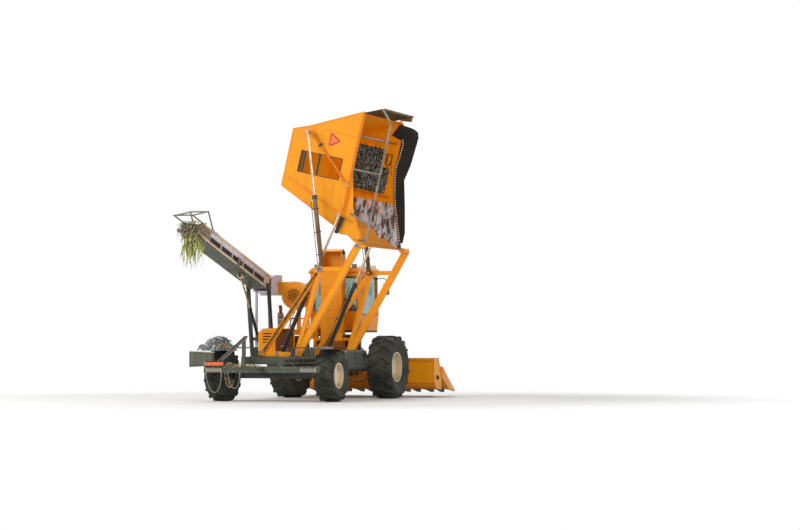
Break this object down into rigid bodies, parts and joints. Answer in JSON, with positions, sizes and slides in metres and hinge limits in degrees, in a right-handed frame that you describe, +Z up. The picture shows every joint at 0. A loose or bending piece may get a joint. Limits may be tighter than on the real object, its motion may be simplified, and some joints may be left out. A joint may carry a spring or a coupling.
{
  "type": "self-propelled maize ear harvester",
  "caption": "Self-propelled maize harvester with a row head, cab, rear trash conveyor and a high-lift bin on gantries, shown raised by its lift cylinders and tipped to the right.",
  "frame": {"origin": "on the ground under the middle of the machine's length and width, with the bin raised", "axes": "+X points forward along the machine's length, +Y to its left, +Z up"},
  "size_m": [10.5994, 5.6676, 8.1383],
  "materials": {
    "orange_paint": "worn gloss",
    "cream_paint": "worn satin",
    "lilac_paint": "dusty satin",
    "dark_paint": "dusty matte",
    "worn_iron": "rusty matte",
    "chrome_rod": "polished",
    "black_rubber": "matte",
    "black_plastic": "matte",
    "tyre_rubber": "matte",
    "window_glass": "clear",
    "red_plastic": "retroreflective"
  },
  "bodies": {
    "machine": {"chassis": "dark_paint", "gantries": "orange_paint", "front_axle": "dark_paint", "rear_axle": "dark_paint", "cab_floor": "dark_paint", "cab_shell": "orange_paint", "cab_roof": "orange_paint", "cab_glass": "window_glass", "cab_seat": "black_plastic", "steering_column": "black_plastic", "platform_ladder": "orange_paint", "engine_block": "worn_iron", "engine_cover": "orange_paint", "exhaust": "worn_iron", "fuel_tank": "dark_paint", "ear_elevator": "orange_paint", "trash_fan": "orange_paint", "trash_hopper": "lilac_paint", "rear_fenders": "dark_paint", "rear_box": "lilac_paint", "hose_outer": "black_rubber", "hose_inner": "black_rubber", "conveyor_mast": "dark_paint", "work_lamps": "cream_paint"},
    "bin": {"bin_floor": "orange_paint", "bin_ends": "orange_paint", "bin_ribs": "orange_paint", "bin_rails": "lilac_paint", "bin_hood": "dark_paint", "bin_curtain": "black_rubber", "bin_triangle": "red_plastic"},
    "left_barrels": {"left_barrels": "worn_iron"},
    "left_rods": {"left_rods": "chrome_rod"},
    "right_barrels": {"right_barrels": "worn_iron"},
    "right_rods": {"right_rods": "chrome_rod"},
    "conveyor": {"conveyor_trough": "cream_paint", "conveyor_belt": "black_rubber"},
    "conveyor_drum": {"conveyor_drum": "dark_paint"},
    "conveyor_barrel": {"conveyor_barrel": "dark_paint"},
    "conveyor_rod": {"conveyor_rod": "chrome_rod"},
    "head": {"feeder_house": "orange_paint", "head_frame": "orange_paint", "head_snouts": "orange_paint", "row_units": "dark_paint"},
    "head_auger": {"head_auger": "lilac_paint"},
    "head_barrels": {"head_barrels": "dark_paint"},
    "head_rods": {"head_rods": "chrome_rod"},
    "left_knuckle": {"left_knuckle": "dark_paint"},
    "right_knuckle": {"right_knuckle": "dark_paint"},
    "front_left_wheel": {"front_left_rim": "cream_paint", "front_left_tyre": "tyre_rubber"},
    "front_right_wheel": {"front_right_rim": "cream_paint", "front_right_tyre": "tyre_rubber"},
    "rear_left_wheel": {"rear_left_rim": "cream_paint", "rear_left_tyre": "tyre_rubber"},
    "rear_right_wheel": {"rear_right_rim": "cream_paint", "rear_right_tyre": "tyre_rubber"},
    "cab_door": {"cab_door": "orange_paint", "door_glass": "window_glass"}
  },
  "joints": [
    {"name": "bin_tilt", "type": "hinge", "parent": "machine", "child": "bin", "pos_m": [-1.37, -1.9661, 4.31], "axis": [1, 0, 0], "range_deg": [-103, 0]},
    {"name": "left_barrel_swing", "type": "hinge", "parent": "machine", "child": "left_barrels", "pos_m": [-1.37, -0.8481, 3.678], "axis": [1, 0, 0], "range_deg": [-127.43, 0]},
    {"name": "left_rod_slide", "type": "slide", "parent": "left_barrels", "child": "left_rods", "axis": [0, 0.1126, 0.9936], "range_m": [-1.5603, 0]},
    {"name": "right_barrel_swing", "type": "hinge", "parent": "machine", "child": "right_barrels", "pos_m": [-1.37, 0.4339, 1.33], "axis": [1, 0, 0], "range_deg": [0, 14.31]},
    {"name": "right_rod_slide", "type": "slide", "parent": "right_barrels", "child": "right_rods", "axis": [0, -0.409, 0.9125], "range_m": [-1.5153, 0]},
    {"name": "conveyor_luff", "type": "hinge", "parent": "machine", "child": "conveyor", "pos_m": [-0.07, 2.4389, 3.29], "axis": [0, 1, 0], "range_deg": [-16, 4]},
    {"name": "conveyor_barrel_swing", "type": "hinge", "parent": "machine", "child": "conveyor_barrel", "pos_m": [0.18, 2.4389, 1.45], "axis": [0, 1, 0], "range_deg": [-5.76, 1.46]},
    {"name": "conveyor_rod_slide", "type": "slide", "parent": "conveyor_barrel", "child": "conveyor_rod", "axis": [-0.5918, 0, 0.8061], "range_m": [-0.2657, 0.0672]},
    {"name": "conveyor_drum_spin", "type": "hinge", "parent": "conveyor", "child": "conveyor_drum", "pos_m": [-4.63394, 2.4389, 4.75465], "axis": [0, 1, 0], "continuous": true},
    {"name": "head_lift", "type": "hinge", "parent": "machine", "child": "head", "pos_m": [1.16, 0.4339, 1.65], "axis": [0, -1, 0], "range_deg": [-2, 14]},
    {"name": "head_barrel_swing", "type": "hinge", "parent": "machine", "child": "head_barrels", "pos_m": [1.39, 0.4339, 0.7], "axis": [0, -1, 0], "range_deg": [-2.18, 15.17]},
    {"name": "head_rod_slide", "type": "slide", "parent": "head_barrels", "child": "head_rods", "axis": [0.9991, 0, 0.0432], "range_m": [-0.0349, 0.2383]},
    {"name": "head_auger_spin", "type": "hinge", "parent": "head", "child": "head_auger", "pos_m": [3.41, 0.4339, 0.59], "axis": [0, 1, 0], "continuous": true},
    {"name": "left_steer", "type": "hinge", "parent": "machine", "child": "left_knuckle", "pos_m": [-3.42, 1.6539, 0.725], "axis": [0, 0, 1], "range_deg": [-25, 25]},
    {"name": "right_steer", "type": "hinge", "parent": "machine", "child": "right_knuckle", "pos_m": [-3.42, -0.7861, 0.725], "axis": [0, 0, 1], "range_deg": [-25, 25]},
    {"name": "rear_left_spin", "type": "hinge", "parent": "left_knuckle", "child": "rear_left_wheel", "pos_m": [-3.42, 2.0789, 0.725], "axis": [0, 1, 0], "continuous": true},
    {"name": "rear_right_spin", "type": "hinge", "parent": "right_knuckle", "child": "rear_right_wheel", "pos_m": [-3.42, -1.2111, 0.725], "axis": [0, 1, 0], "continuous": true},
    {"name": "front_left_spin", "type": "hinge", "parent": "machine", "child": "front_left_wheel", "pos_m": [1.33, 1.9939, 0.925], "axis": [0, 1, 0], "continuous": true},
    {"name": "front_right_spin", "type": "hinge", "parent": "machine", "child": "front_right_wheel", "pos_m": [1.33, -1.1261, 0.925], "axis": [0, 1, 0], "continuous": true},
    {"name": "cab_door_swing", "type": "hinge", "parent": "machine", "child": "cab_door", "pos_m": [1.216, 1.2559, 2.85], "axis": [0, 0, 1], "range_deg": [0, 75]}
  ],
  "couplings": [
    {"joint": "left_barrel_swing", "follows": "bin_tilt", "ratio": 1.237},
    {"joint": "left_rod_slide", "follows": "bin_tilt", "m_per_rad": 0.8674},
    {"joint": "right_barrel_swing", "follows": "bin_tilt", "ratio": -0.1387},
    {"joint": "right_rod_slide", "follows": "bin_tilt", "m_per_rad": 0.84236},
    {"joint": "conveyor_barrel_swing", "follows": "conveyor_luff", "ratio": 0.35892},
    {"joint": "conveyor_rod_slide", "follows": "conveyor_luff", "m_per_rad": 0.94796},
    {"joint": "head_barrel_swing", "follows": "head_lift", "ratio": 1.0819},
    {"joint": "head_rod_slide", "follows": "head_lift", "m_per_rad": 0.9713},
    {"joint": "right_steer", "follows": "left_steer", "ratio": 1}
  ]
}
